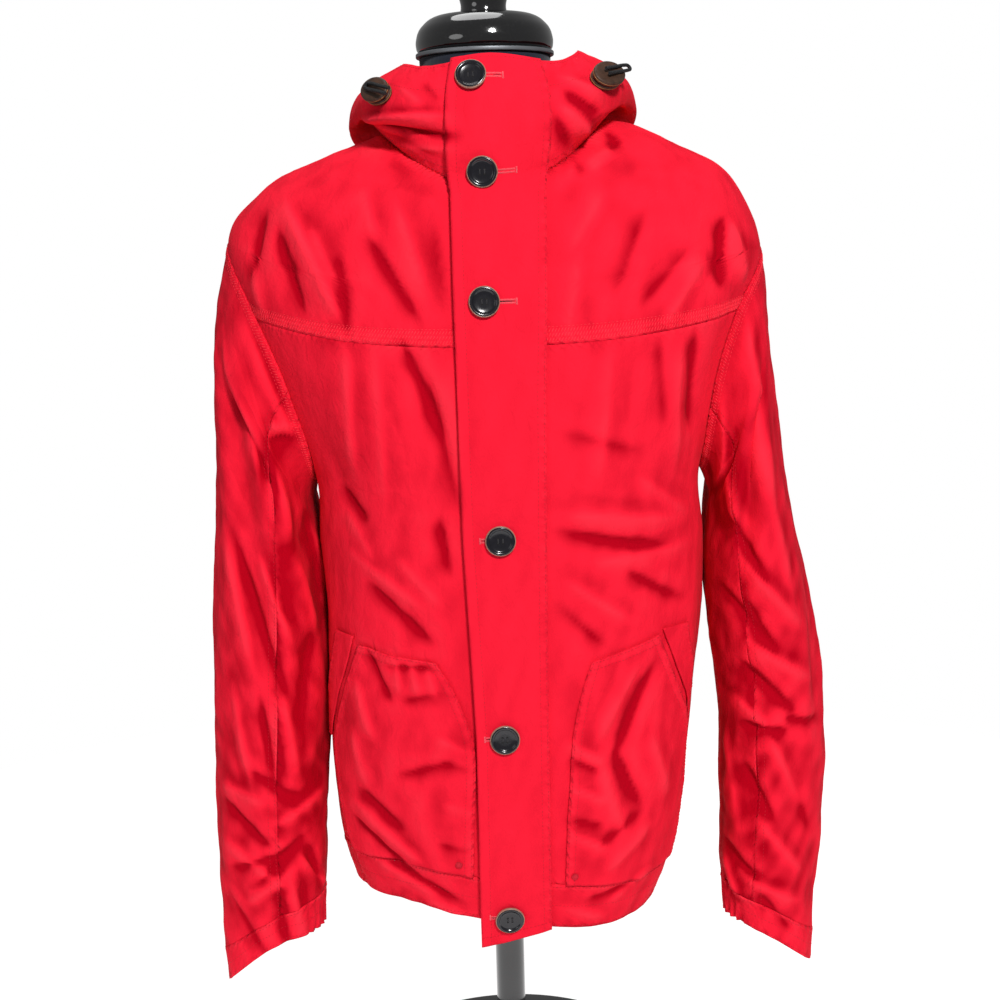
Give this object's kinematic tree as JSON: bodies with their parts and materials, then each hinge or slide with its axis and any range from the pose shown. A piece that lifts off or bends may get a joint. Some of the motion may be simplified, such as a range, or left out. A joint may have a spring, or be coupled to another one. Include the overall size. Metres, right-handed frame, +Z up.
{
  "type": "raincoat on dress form",
  "caption": "Hooded raincoat with a buttoned storm flap, yokes, patch pockets and cord locks, hanging on a limbless dress form on a round stand.",
  "frame": {"origin": "centre of the underside of the stand's base", "axes": "+Z up, the coat's front faces -Y, the wearer's left is +X"},
  "size_m": [0.5766, 0.368, 1.074],
  "materials": {
    "coat_cloth": "matte",
    "button": "gloss",
    "leather": "satin",
    "cord": "matte",
    "form_cloth": "matte",
    "trim": "matte",
    "lacquered_wood": "gloss",
    "stand_paint": "gloss"
  },
  "bodies": {
    "root": {"front_right": "coat_cloth", "yoke_front_right": "coat_cloth", "hem_band_front_right": "coat_cloth", "pocket_right": "coat_cloth", "pocket_welt_right": "coat_cloth", "front_left": "coat_cloth", "yoke_front_left": "coat_cloth", "hem_band_front_left": "coat_cloth", "pocket_left": "coat_cloth", "pocket_welt_left": "coat_cloth", "back": "coat_cloth", "yoke_back": "coat_cloth", "hem_band_back": "coat_cloth", "storm_flap": "coat_cloth", "sleeve_top_right": "coat_cloth", "sleeve_under_right": "coat_cloth", "cuff_right": "coat_cloth", "sleeve_top_left": "coat_cloth", "sleeve_under_left": "coat_cloth", "cuff_left": "coat_cloth", "hood_side_left": "coat_cloth", "hood_side_right": "coat_cloth", "hood_centre": "coat_cloth", "button_1": "button", "button_2": "button", "button_3": "button", "button_4": "button", "button_5": "button", "button_6": "button", "cord_lock_right": "leather", "drawcord_right": "cord", "cord_lock_left": "leather", "drawcord_left": "cord", "form_torso": "form_cloth", "form_neck_trim": "trim", "form_neck_cap": "lacquered_wood", "form_knob": "lacquered_wood", "form_flange": "stand_paint", "stand_pole": "stand_paint", "stand_base": "stand_paint"}
  },
  "joints": []
}
